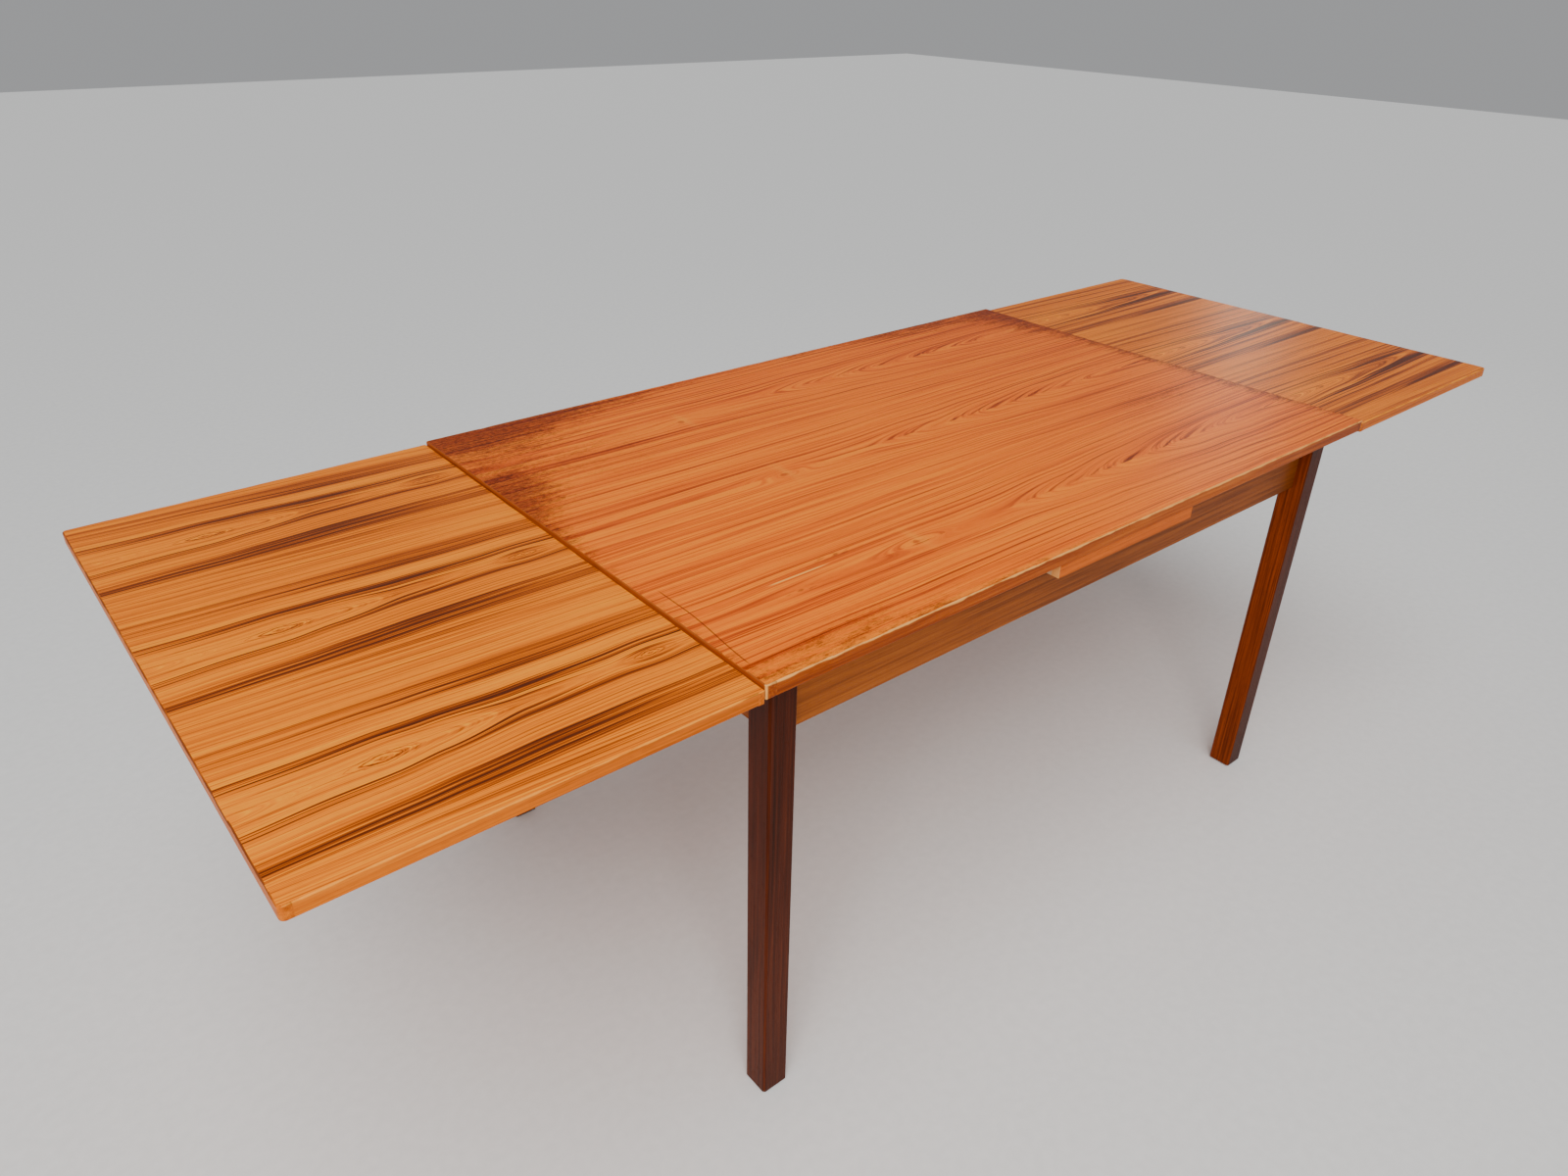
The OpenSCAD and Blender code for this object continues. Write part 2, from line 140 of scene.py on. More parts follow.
class Graph:
    """Makes one material's nodes. A value is a socket or a plain number or colour."""

    def __init__(self, name):
        self.material = bpy.data.materials.new(name)
        self.material.use_nodes = True
        self.tree = self.material.node_tree
        self.tree.nodes.clear()
        self.shader = self.tree.nodes.new("ShaderNodeBsdfPrincipled")
        output = self.tree.nodes.new("ShaderNodeOutputMaterial")
        self.tree.links.new(self.shader.outputs[0], output.inputs["Surface"])
        place = self.tree.nodes.new("ShaderNodeTexCoord").outputs["Object"]
        split = self.tree.nodes.new("ShaderNodeSeparateXYZ")
        self.tree.links.new(place, split.inputs[0])
        self.x, self.y, self.z = split.outputs

    def put(self, value, socket):
        if isinstance(value, bpy.types.NodeSocket):
            self.tree.links.new(value, socket)
        elif isinstance(value, tuple) and len(value) == 3 and socket.type == "RGBA":
            socket.default_value = (*value, 1.0)
        else:
            socket.default_value = value

    def math(self, operation, a, b=0.0):
        made = self.tree.nodes.new("ShaderNodeMath")
        made.operation = operation
        for value, socket in zip((a, b), made.inputs):
            self.put(value, socket)
        return made.outputs[0]

    def add(self, a, b):
        return self.math("ADD", a, b)

    def sub(self, a, b):
        return self.math("SUBTRACT", a, b)

    def mul(self, a, b):
        return self.math("MULTIPLY", a, b)

    def vector(self, x, y, z):
        made = self.tree.nodes.new("ShaderNodeCombineXYZ")
        for value, socket in zip((x, y, z), made.inputs):
            self.put(value, socket)
        return made.outputs[0]

    def noise(self, x, y, z, detail=2.0, rough=0.5):
        """Noise from 0 to 1 at a place already multiplied by its scale."""
        made = self.tree.nodes.new("ShaderNodeTexNoise")
        self.put(self.vector(x, y, z), made.inputs["Vector"])
        made.inputs["Scale"].default_value = 1.0
        made.inputs["Detail"].default_value = detail
        made.inputs["Roughness"].default_value = rough
        return made.outputs[0]

    def smooth(self, value, low, high):
        """0 below low and 1 above high, with a smooth step between; low may be above high."""
        made = self.tree.nodes.new("ShaderNodeMapRange")
        made.interpolation_type = "SMOOTHSTEP"
        self.put(value, made.inputs["Value"])
        if low < high:
            limits = low, high, 0.0, 1.0
        else:
            limits = high, low, 1.0, 0.0
        for number, socket in zip(limits, made.inputs[1:5]):
            socket.default_value = number
        return made.outputs[0]

    def ramp(self, value, stops):
        """A colour ramp through (place, colour) stops; a plain number stands for a grey."""
        made = self.tree.nodes.new("ShaderNodeValToRGB")
        self.put(value, made.inputs[0])
        elements = made.color_ramp.elements
        while len(elements) < len(stops):
            elements.new(0.5)
        for element, (place, colour) in zip(elements, stops):
            element.position = place
            rgb = colour if isinstance(colour, tuple) else (colour,) * 3
            element.color = (*rgb, 1.0)
        return made.outputs[0]

    def curve(self, value, stops, bend="EASE"):
        """A curve through (value, height) stops."""
        low, high = stops[0][0], stops[-1][0]
        base = min(height for place, height in stops)
        span = max(height for place, height in stops) - base
        run = self.mul(self.sub(value, low), 1 / (high - low))
        unit = [((place - low) / (high - low), (height - base) / span) for place, height in stops]
        shade = self.ramp(run, unit)
        shade.node.color_ramp.interpolation = bend
        return self.add(self.mul(shade, span), base)

    def blend(self, share, a, b):
        """The value a where share is 0, and b where it is 1."""
        return self.add(self.mul(a, self.sub(1.0, share)), self.mul(b, share))

    def mix(self, share, a, b, blend="MIX"):
        made = self.tree.nodes.new("ShaderNodeMix")
        made.data_type = "RGBA"
        made.blend_type = blend
        for value, index in ((share, 0), (a, 6), (b, 7)):
            self.put(value, made.inputs[index])
        return made.outputs[2]

    def finish(self, colour, rough, height=None, depth=0.0004, gloss=0.3, gleam=(1.0, 1.0, 1.0)):
        """Joins colour, roughness and bump to the shader. gleam tints the gloss."""
        self.put(colour, self.shader.inputs["Base Color"])
        self.put(rough, self.shader.inputs["Roughness"])
        self.shader.inputs["Specular IOR Level"].default_value = gloss
        self.shader.inputs["Specular Tint"].default_value = (*gleam, 1.0)
        if height is not None:
            bump = self.tree.nodes.new("ShaderNodeBump")
            bump.inputs["Distance"].default_value = depth
            bump.inputs["Strength"].default_value = 0.8
            self.put(height, bump.inputs["Height"])
            self.put(bump.outputs[0], self.shader.inputs["Normal"])
        return self.material


# ---- teak veneer ----


def sheet_place(g, seam_y, width):
    """(distance forwards from the sheet's back seam, sheet number) for slip-matched veneer."""
    run = g.mul(g.sub(seam_y, g.y), 1 / width)
    number = g.math("FLOOR", run)
    return g.mul(g.sub(run, number), width), number


def bell(g, value, middle, spread):
    """1 at the middle, falling off on both sides like a bell."""
    away = g.mul(g.sub(value, middle), 1 / spread)
    return g.math("EXPONENT", g.mul(g.mul(away, away), -1.0))


def spot(g, x, y, half_x, half_y):
    """A soft round or oval spot on the table's surface, from 0 to 1."""
    return g.mul(bell(g, g.x, x, half_x), bell(g, g.y, y, half_y))


def pores(g, along, across, depth, length=60.0, width=2400.0):
    """Short dark pores, from 0 to 1, drawn out along the grain."""
    field = g.noise(g.mul(along, length), g.mul(across, width), g.mul(depth, width), 1.0)
    return g.smooth(field, 0.55, 0.70)


def lines(g, ring, along, other, scale, length=2.0):
    """Growth lines around 0 for a ring distance in metres, long in the grain's direction."""
    field = g.noise(g.mul(ring, scale), g.mul(along, length), g.mul(other, 9.0), 2.0, 0.55)
    return g.sub(field, 0.5)


def dark_lines(g, ring, along, other, scale, length=1.5, share=0.56):
    """Crisp thin growth lines from 0 to 1 for a ring distance in metres."""
    field = g.noise(g.mul(ring, scale), g.mul(along, length), g.mul(other, 9.0), 1.0, 0.5)
    return g.smooth(field, share, share + 0.09)


def waver(g, place, number, amount):
    """A slow sideways wander of the grain, almost the same in each sheet."""
    field = g.noise(g.mul(g.x, 3.0), g.mul(place, 8.0), g.mul(number, 0.12), 2.0)
    return g.mul(g.sub(field, 0.5), amount)


def root_sum(g, off, spread):
    """The ring distance where a trunk's rings open around a line, off away from it."""
    total = g.add(g.mul(off, off), spread)
    return g.math("SQRT", g.math("ABSOLUTE", total))


def teak_main_top():
    """Red-brown veneer in slip-matched sheets, with feathered strokes behind each seam."""
    g = Graph("teak_top")
    place, number = sheet_place(g, TOP_SEAM_Y, TOP_SHEET)
    place = g.add(place, waver(g, place, number, 0.014))
    spread = g.curve(g.x, TOP_SPREAD)
    to_next = g.sub(TOP_SHEET, place)
    ahead = root_sum(g, place, spread)
    behind = g.sub(TOP_SHEET, root_sum(g, to_next, spread))
    ring = g.blend(g.smooth(place, 0.18, 0.10), behind, ahead)
    for knot_y in KNOT_YS:
        ring = g.add(ring, g.mul(spot(g, KNOT_X, knot_y, 0.045, 0.014), 0.006))
    broad = lines(g, ring, g.x, number, 120.0, 0.8)
    fine = lines(g, ring, g.x, number, 340.0, 1.2)
    hair = lines(g, ring, g.x, number, 1000.0, 4.0)
    crisp = dark_lines(g, ring, g.x, number, 260.0, 0.8, 0.53)
    figured = g.curve(g.x, TOP_FIGURE)
    stroke = g.mul(feather(g, to_next, number), figured)
    glow = g.mul(g.smooth(place, 0.05, 0.0), figured)
    to_seam = g.math("MINIMUM", place, to_next)
    calm = g.sub(1.0, g.mul(g.mul(g.smooth(to_seam, 0.034, 0.012), figured), 0.65))
    tone = g.add(g.mul(broad, 0.45), g.mul(g.mul(fine, 1.1), calm))
    tone = g.add(tone, g.mul(hair, 1.2))
    tone = g.sub(tone, g.mul(g.mul(crisp, 0.24), calm))
    tone = g.sub(tone, g.mul(stroke, 0.52))
    tone = g.add(g.add(tone, 0.67), g.mul(glow, 0.08))
    redder = g.add(g.mul(g.smooth(g.x, -0.1, 0.6), 0.06), g.mul(g.smooth(g.y, 0.1, 0.4), 0.08))
    colour = g.ramp(g.sub(tone, redder), TOP_RAMP)
    for knot_y in KNOT_YS:
        colour = knot(g, colour, knot_y)
    pore = pores(g, g.x, g.y, g.z)
    colour = g.mix(g.mul(pore, 0.22), colour, (0.30, 0.045, 0.002))
    dark = patina(g)
    fleck = g.noise(g.mul(g.x, 110.0), g.mul(g.y, 260.0), 0.0, 4.0, 0.75)
    stain = g.mul(g.math("MINIMUM", g.mul(dark, 2.2), 1.0), g.smooth(fleck, 0.44, 0.58))
    colour = g.mix(g.smooth(dark, 0.0, 1.0), colour, (0.43, 0.32, 1.0), "MULTIPLY")
    colour = g.mix(g.mul(stain, 0.75), colour, (0.31, 0.28, 1.0), "MULTIPLY")
    colour = top_marks(g, colour)
    rough = g.add(0.37, g.mul(g.add(pore, g.mul(stain, 0.5)), 0.14))
    height = g.sub(g.mul(tone, 0.5), g.mul(pore, 0.5))
    return g.finish(colour, rough, height, depth=0.0001, gloss=0.14, gleam=OILED)


def feather(g, behind, number):
    """Short slanting dark strokes that fan out just behind a seam, from 0 to 1."""
    bend = g.add(3.0, g.mul(behind, 45.0))
    lean = g.sub(g.x, g.mul(behind, bend))
    drift = g.noise(g.mul(lean, 11.0), g.mul(behind, 12.0), g.mul(number, 0.4), 2.0)
    wave = g.math("SINE", g.add(g.mul(lean, 125.0), g.mul(drift, 9.0)))
    thread = g.noise(g.mul(lean, 150.0), g.mul(behind, 60.0), number, 2.0)
    strength = g.noise(g.mul(lean, 16.0), g.mul(behind, 20.0), g.add(number, 5.0), 1.0)
    crest = g.smooth(g.add(wave, g.mul(thread, 0.9)), 0.45, 1.35)
    stroke = g.mul(crest, g.smooth(strength, 0.34, 0.58))
    return g.mul(stroke, g.smooth(behind, 0.038, 0.008))


def knot(g, colour, y):
    """A small reddish swirl, with a pale band across the grain beside it."""
    pale = spot(g, KNOT_X + 0.003, y + 0.006, 0.007, 0.030)
    colour = g.mix(g.mul(pale, 0.35), colour, (1.0, 0.36, 0.03))
    red = spot(g, KNOT_X - 0.006, y, 0.010, 0.007)
    swirl = g.noise(g.mul(g.x, 160.0), g.mul(g.y, 160.0), y, 2.0)
    red = g.smooth(g.add(red, g.mul(g.sub(swirl, 0.5), 0.7)), 0.45, 0.9)
    return g.mix(g.mul(red, 0.6), colour, (0.42, 0.05, 0.004))


def patina(g):
    """The old darkened finish near the ends and corners of the main top, from 0 to 1."""
    total = 0.0
    for x, y, half_x, half_y, strength in PATINA_POOLS:
        total = g.add(total, g.mul(spot(g, x, y, half_x, half_y), strength))
    patch = g.noise(g.mul(g.x, 14.0), g.mul(g.y, 60.0), 3.0, 6.0, 0.75)
    reach = g.mul(g.sub(patch, 0.5), g.math("MINIMUM", g.mul(total, 5.0), 2.2))
    return g.smooth(g.add(total, reach), 0.0, 1.35)


def streak(g, x_low, x_high, y_mid, half):
    """A mark along the table's length, from 0 to 1."""
    along = g.mul(g.smooth(g.x, x_low, x_low + 0.02), g.smooth(g.x, x_high, x_high - 0.03))
    across = g.smooth(g.math("ABSOLUTE", g.sub(g.y, y_mid)), half, half * 0.3)
    return g.mul(along, across)


def top_marks(g, colour):
    """The pale scratch, the bruises by it and the fine dark line near the left end."""
    pale = streak(g, -0.520, -0.41, -0.2597, 0.0018)
    colour = g.mix(g.mul(pale, 0.9), colour, (0.95, 0.50, 0.10))
    chips = g.noise(g.mul(g.x, 70.0), g.mul(g.y, 260.0), 7.0, 2.0)
    near = g.add(spot(g, -0.395, -0.247, 0.035, 0.006), spot(g, -0.485, -0.291, 0.022, 0.005))
    bruise = g.mul(near, g.smooth(chips, 0.5, 0.62))
    colour = g.mix(g.mul(bruise, 0.65), colour, (0.25, 0.03, 0.01))
    bent = g.add(-0.627, g.mul(g.smooth(g.y, -0.24, -0.39), -0.011))
    line = g.smooth(g.math("ABSOLUTE", g.sub(g.x, bent)), 0.0011, 0.0004)
    stretch = g.mul(g.smooth(g.y, -0.385, -0.37), g.smooth(g.y, -0.185, -0.2))
    return g.mix(g.mul(g.mul(line, stretch), 0.85), colour, (0.12, 0.015, 0.004))


def heart(g, along, across, half_x, half_y):
    """The nested outlines of a small lens-shaped figure, from 0 to 1."""
    wide = g.math("ABSOLUTE", g.mul(along, 1 / half_x))
    tall = g.math("ABSOLUTE", g.mul(across, 1 / half_y))
    reach = g.add(wide, g.math("POWER", tall, 1.3))
    ripple = g.noise(g.mul(along, 90.0), g.mul(across, 320.0), half_x, 2.0)
    reach = g.add(reach, g.mul(g.sub(ripple, 0.5), 0.5))
    outline = g.math("SINE", g.mul(reach, 14.0))
    return g.mul(g.smooth(outline, 0.0, 0.9), g.smooth(reach, 1.25, 0.85))


def converging(g, off, half_widths):
    """Thin lines inside the golden lens that draw together where it narrows, from 0 to 1."""
    share = g.math("DIVIDE", off, g.curve(g.x, half_widths))
    field = g.noise(g.mul(share, 4.5), g.mul(g.x, 2.5), 2.0, 1.0)
    inside = g.smooth(g.math("ABSOLUTE", share), 1.4, 1.0)
    return g.mul(g.smooth(field, 0.52, 0.62), inside)


def teak_leaf(name, seam_y, width, core, tilt, spread_stops, bands, darkest, hearts, lens):
    """Golden veneer with dark stripes that open round a line of small hearts.

    core is the distance from the seam to that line. tilt is how much the stripes behind it swing
    over the leaf. spread_stops gives how far the rings open around the line, along x. bands
    gives the golden share, from 0 to 1, against the ring distance, minus behind the line.
    darkest is the (x, half length) where the stripes are at their darkest.
    hearts gives each small heart's (x, half length, half width), and lens the golden lens's half
    width along x.
    """
    g = Graph(name)
    place, number = sheet_place(g, seam_y, width)
    off = g.add(g.sub(place, core), waver(g, place, number, 0.007))
    swing = g.mul(g.smooth(off, -0.03, -0.09), g.mul(g.sub(g.x, darkest[0]), tilt))
    off = g.sub(off, swing)
    ring = root_sum(g, off, g.curve(g.x, spread_stops))
    signed = g.mul(ring, g.math("SIGN", off))
    jitter = g.mul(lines(g, ring, g.x, off, 260.0, 3.0), 0.010)
    gold = g.curve(g.add(signed, jitter), bands, "LINEAR")
    fine = lines(g, ring, g.x, off, 330.0)
    hair = lines(g, ring, g.x, off, 1000.0, 4.0)
    turned = g.math("DIVIDE", g.math("ABSOLUTE", off), ring)
    crisp = g.mul(dark_lines(g, ring, g.x, off, 330.0), g.smooth(turned, 0.10, 0.55))
    stripe = g.add(g.mul(fine, 0.90), g.mul(hair, 0.90))
    depth = g.add(0.62, g.mul(bell(g, g.x, *darkest), 0.38))
    dark = g.mul(g.sub(1.0, gold), depth)
    tone = g.sub(0.78, g.mul(dark, 0.54))
    beside = g.math("ABSOLUTE", g.sub(ring, 0.037))
    busy = g.add(g.smooth(beside, 0.020, 0.006), dark)
    tone = g.add(tone, g.mul(stripe, g.add(0.65, g.mul(dark, 0.8))))
    tone = g.sub(tone, g.mul(crisp, g.add(0.16, g.mul(busy, 0.38))))
    tone = g.sub(tone, g.mul(converging(g, off, lens), 0.20))
    for x, half_x, half_y in hearts:
        tone = g.sub(tone, g.mul(heart(g, g.sub(g.x, x), off, half_x, half_y), 0.32))
    # Painted light: the leaves are darker away from the left leaf's front-left corner, where the
    # light falls brightest.
    painted_light_falloff = g.mul(g.smooth(g.add(g.x, g.y), -1.5, -0.5), 0.07)
    colour = g.ramp(g.sub(tone, painted_light_falloff), LEAF_RAMP)
    pore = pores(g, g.x, g.y, g.z, 75.0, 2200.0)
    colour = g.mix(g.mul(pore, 0.20), colour, (0.30, 0.05, 0.002))
    rough = g.add(0.36, g.mul(pore, 0.14))
    height = g.sub(g.mul(stripe, 0.4), g.mul(pore, 0.5))
    return g.finish(colour, rough, height, depth=0.0001, gloss=0.14, gleam=OILED)


# ---- solid wood and fittings ----


def arris_wear_and_shade(g, x_edge, y_edge, z_top, reach):
    """The band along an upper outer arris, from 0 to 1, that carries wear, and painted shade at
    the main top's ends.
    """
    dx = g.sub(x_edge, g.math("ABSOLUTE", g.x))
    dy = g.sub(y_edge, g.math("ABSOLUTE", g.y))
    side = g.math("MINIMUM", dx, dy)
    drop = g.math("ABSOLUTE", g.sub(z_top, g.z))
    corner = g.mul(g.math("MAXIMUM", dx, dy), 0.7)
    away = g.math("MINIMUM", g.math("MAXIMUM", side, drop), corner)
    uneven = g.noise(g.mul(g.x, 30.0), g.mul(g.y, 30.0), 0.0, 3.0)
    away = g.sub(away, g.mul(g.sub(uneven, 0.5), reach * 2.2))
    return g.smooth(away, reach, reach * 0.25)


def painted_lit_face(g, colour):
    """Painted light: the right legs' inner faces, which face the light from the left, are
    coloured a lighter orange-brown in streaks.
    """
    face = g.smooth(g.math("ABSOLUTE", g.sub(g.x, RIGHT_LEG_X)), 0.004, 0.001)
    streaks = g.noise(g.mul(g.x, 260.0), g.mul(g.y, 260.0), g.mul(g.z, 5.0), 4.0, 0.6)
    return g.mix(g.mul(face, g.smooth(streaks, 0.2, 0.75)), colour, (0.30, 0.045, 0.005))


def painted_overhang_shade(g, colour):
    """Painted shade: darker along the upper edge, under the main top's overhang, and towards the
    right end.
    """
    high = g.smooth(g.z, APRON_Z - 0.040, APRON_Z - 0.006)
    right = g.mul(g.smooth(g.x, 0.40, 0.57), 0.55)
    dark = g.math("MAXIMUM", high, right)
    return g.mix(g.mul(dark, 0.85), colour, (0.30, 0.24, 0.22), "MULTIPLY")


def end_grain(g, colour):
    """Pale end grain at the left end of the centre board's lips."""
    end = g.smooth(g.x, BOARD_X + 0.0015, BOARD_X + 0.0002)
    return g.mix(g.mul(end, 0.9), colour, (0.80, 0.40, 0.12))


def solid_teak(name, colours, axis, worn=None, side_colour=CREAM, end_colour=CREAM, tint=None):
    """Solid teak, from dark to light, with its grain along x, y or z.

    worn is the (x, y, z, reach) of a worn upper arris, of side_colour along the table's sides and
    end_colour across its ends; on the main top's end lippings that end colour is painted shade.
    tint changes the colour before the pores go in.
    """
    g = Graph(name)
    order = {"x": (g.x, g.y, g.z), "y": (g.y, g.x, g.z), "z": (g.z, g.x, g.y)}
    along, across, other = order[axis]
    sweep = g.noise(g.mul(along, 1.6), g.mul(across, 12.0), g.mul(other, 12.0), 2.0)
    grain = g.noise(
        g.mul(along, 3.0), g.add(g.mul(across, 260.0), g.mul(sweep, 5.0)),
        g.mul(other, 260.0), 3.0, 0.6)
    hair = g.noise(g.mul(along, 9.0), g.mul(across, 1100.0), g.mul(other, 1100.0), 1.0)
    tone = g.add(g.add(g.mul(grain, 0.5), g.mul(sweep, 0.3)), g.mul(hair, 0.2))
    colour = g.ramp(tone, list(zip((0.34, 0.5, 0.66), colours)))
    if tint:
        colour = tint(g, colour)
    pore = pores(g, along, across, other)
    colour = g.mix(g.mul(pore, 0.40), colour, colours[0])
    rough = g.add(0.42, g.mul(pore, 0.15))
    if worn:
        edge = arris_wear_and_shade(g, *worn)
        along_side = g.smooth(g.math("ABSOLUTE", g.y), TOP_Y - 0.004, TOP_Y - 0.002)
        pale = g.mix(along_side, end_colour, side_colour)
        colour = g.mix(g.mul(edge, 0.9), colour, pale)
        rough = g.add(rough, g.mul(edge, 0.15))
    height = g.sub(g.mul(grain, 0.4), g.mul(pore, 0.6))
    return g.finish(colour, rough, height, depth=0.00015, gloss=0.12, gleam=OILED)


def beech(name):
    """Bare beech with its grain along x and short dark ray flecks."""
    g = Graph(name)
    sweep = g.noise(g.mul(g.x, 2.0), g.mul(g.y, 14.0), g.mul(g.z, 14.0), 2.0)
    grain = g.noise(g.mul(g.x, 6.0), g.mul(g.y, 320.0), g.mul(g.z, 320.0), 2.0)
    ray = g.noise(g.mul(g.x, 220.0), g.mul(g.y, 1500.0), g.mul(g.z, 1500.0), 1.0)
    tone = g.add(g.mul(sweep, 0.5), g.mul(grain, 0.5))
    colour = g.ramp(tone, [
        (0.35, (0.50, 0.30, 0.15)), (0.55, (0.62, 0.42, 0.23)), (0.7, (0.70, 0.50, 0.30))])
    colour = g.mix(g.mul(g.smooth(ray, 0.62, 0.72), 0.35), colour, (0.36, 0.19, 0.09))
    return g.finish(colour, g.add(0.55, g.mul(grain, 0.1)), grain, depth=0.0001)


def steel(name):
    g = Graph(name)
    patch = g.noise(g.mul(g.x, 180.0), g.mul(g.y, 180.0), g.mul(g.z, 180.0), 4.0, 0.65)
    colour = g.ramp(patch, [(0.35, (0.34, 0.32, 0.28)), (0.6, (0.56, 0.54, 0.50))])
    g.shader.inputs["Metallic"].default_value = 1.0
    return g.finish(colour, g.add(0.3, g.mul(patch, 0.3)), patch, depth=0.00005)


def felt(name):
    g = Graph(name)
    fuzz = g.noise(g.mul(g.x, 1400.0), g.mul(g.y, 1400.0), g.mul(g.z, 1400.0), 3.0, 0.7)
    colour = g.ramp(fuzz, [(0.3, (0.03, 0.06, 0.035)), (0.7, (0.08, 0.15, 0.09))])
    g.shader.inputs["Sheen Weight"].default_value = 0.4
    return g.finish(colour, 0.95, fuzz, depth=0.0003)


def nylon(name):
    g = Graph(name)
    scuff = g.noise(g.mul(g.x, 260.0), g.mul(g.y, 260.0), g.mul(g.z, 90.0), 4.0, 0.7)
    colour = g.ramp(scuff, [(0.35, (0.45, 0.42, 0.36)), (0.6, (0.70, 0.67, 0.60))])
    return g.finish(colour, g.add(0.38, g.mul(scuff, 0.25)), scuff, depth=0.00008)


top_arris = (TOP_X, TOP_Y, TOP_Z, TOP_WEAR_AND_SHADE)
leaf_arris = (LEAF_OUT_X, TOP_Y, LEAF_Z, LEAF_WEAR)

materials = {
    "teak_top": teak_main_top(),
    "teak_top_lipping": solid_teak("teak_top_lipping", LIP, "x", top_arris),
    "teak_leaf_lipping": solid_teak("teak_leaf_lipping", GOLD, "x", leaf_arris, HONEY),
    # The apron's tint is painted shade under the main top's overhang and towards the right end.
    "teak_apron": solid_teak("teak_apron", APRON, "x", tint=painted_overhang_shade),
    # The legs' tint is painted light on the right legs' inner faces.
    "teak_leg": solid_teak("teak_leg", LEG, "z", tint=painted_lit_face),
    "beech": beech("beech"),
    "steel": steel("steel"),
    "felt": felt("felt"),
    "glide_plastic": nylon("glide_plastic"),
}

# ---- the leaves' figure, as teak_leaf describes it ----

LEFT_SPREAD = [
    (-1.152, -0.00016), (-1.065, 0.00001), (-1.009, -0.00004), (-0.955, 0.00018),
    (-0.86, 0.00056), (-0.755, 0.00066), (-0.706, 0.00056), (-0.65, 0.00066),
]
LEFT_BANDS = [
    (-0.194, 0.80), (-0.178, 0.62), (-0.160, 0.74), (-0.125, 0.86), (-0.103, 0.82),
    (-0.099, 0.15), (-0.090, 0.45), (-0.072, 0.22), (-0.066, 0.85), (-0.046, 0.95),
    (-0.042, 0.25), (-0.038, 0.65), (-0.034, 0.10), (-0.030, 0.80), (-0.024, 0.90),
    (0.000, 1.00), (0.024, 0.90), (0.029, 0.60), (0.032, 0.00), (0.036, 0.35), (0.041, 0.75),
    (0.050, 0.95), (0.066, 0.70), (0.070, 0.10), (0.078, 0.40), (0.084, 0.00), (0.098, 0.10),
    (0.100, 0.40),
]
RIGHT_SPREAD = [
    (0.652, -0.00012), (0.80, 0.00010), (0.95, 0.00040), (1.152, 0.00070),
]
RIGHT_BANDS = [
    (-0.194, 0.80), (-0.108, 0.80), (-0.105, 0.25), (-0.101, 0.25), (-0.098, 0.80),
    (-0.085, 0.75), (-0.082, 0.20), (-0.078, 0.75), (-0.062, 0.80), (-0.059, 0.25),
    (-0.055, 0.80), (-0.038, 0.80), (-0.0345, 0.20), (-0.031, 0.80), (-0.025, 0.85),
    (-0.0225, 0.35), (-0.020, 0.90), (0.018, 0.90), (0.0215, 0.25), (0.025, 0.80),
    (0.031, 0.80), (0.0345, 0.15), (0.039, 0.75), (0.048, 0.80), (0.054, 0.25), (0.060, 0.80),
    (0.073, 0.70), (0.078, 0.15), (0.084, 0.45), (0.090, 0.10), (0.096, 0.30), (0.100, 0.20),
]
LEFT_LENS = [
    (-1.152, 0.018), (-1.06, 0.020), (-1.00, 0.023), (-0.90, 0.012), (-0.83, 0.003),
    (-0.76, 0.003), (-0.706, 0.010), (-0.65, 0.005),
]
RIGHT_LENS = [(0.652, 0.024), (0.85, 0.013), (1.03, 0.003), (1.152, 0.003)]
leaf_materials = {
    "left": teak_leaf(
        "teak_leaf_left", seam_y=0.197, width=0.294, core=0.194, tilt=0.03,
        spread_stops=LEFT_SPREAD, bands=LEFT_BANDS, darkest=(-0.87, 0.15),
        hearts=[(-1.009, 0.040, 0.010), (-0.706, 0.020, 0.008)], lens=LEFT_LENS),
    "right": teak_leaf(
        "teak_leaf_right", seam_y=0.200, width=0.292, core=0.194, tilt=0.01,
        spread_stops=RIGHT_SPREAD, bands=RIGHT_BANDS, darkest=(0.90, 0.35),
        hearts=[(0.772, 0.010, 0.006)], lens=RIGHT_LENS),
}
# The main top's end lippings get painted shade on their end arrises.
cross_lipping = solid_teak("teak_top_lipping_end", LIP, "y", top_arris, end_colour=END_ARRIS_SHADE)
cross_gold = solid_teak("teak_leaf_lipping_end", GOLD, "y", leaf_arris, HONEY, DARK_END)
# The end rails' tint is the same painted shade.
rail_teak = solid_teak("teak_end_rail", APRON, "y", tint=painted_overhang_shade)
board_edge = solid_teak("teak_board_edge", BOARD_EDGE, "x", tint=end_grain)


# ---- pieces with worn edges ----

AXES = {"x": 0, "y": 1, "z": 2}


def upright_edges(mesh, faces):
    """The upright edges where two outer faces meet."""
    found = []
    for edge in mesh.edges:
        if all(side_name(f.normal) in faces for f in edge.link_faces):
            found.append(edge)
    return found


def side_name(normal):
    """The main direction of a normal, such as x+ or y-."""
    axis = max(AXES, key=lambda a: abs(normal[AXES[a]]))
    return axis + ("+" if normal[AXES[axis]] > 0 else "-")


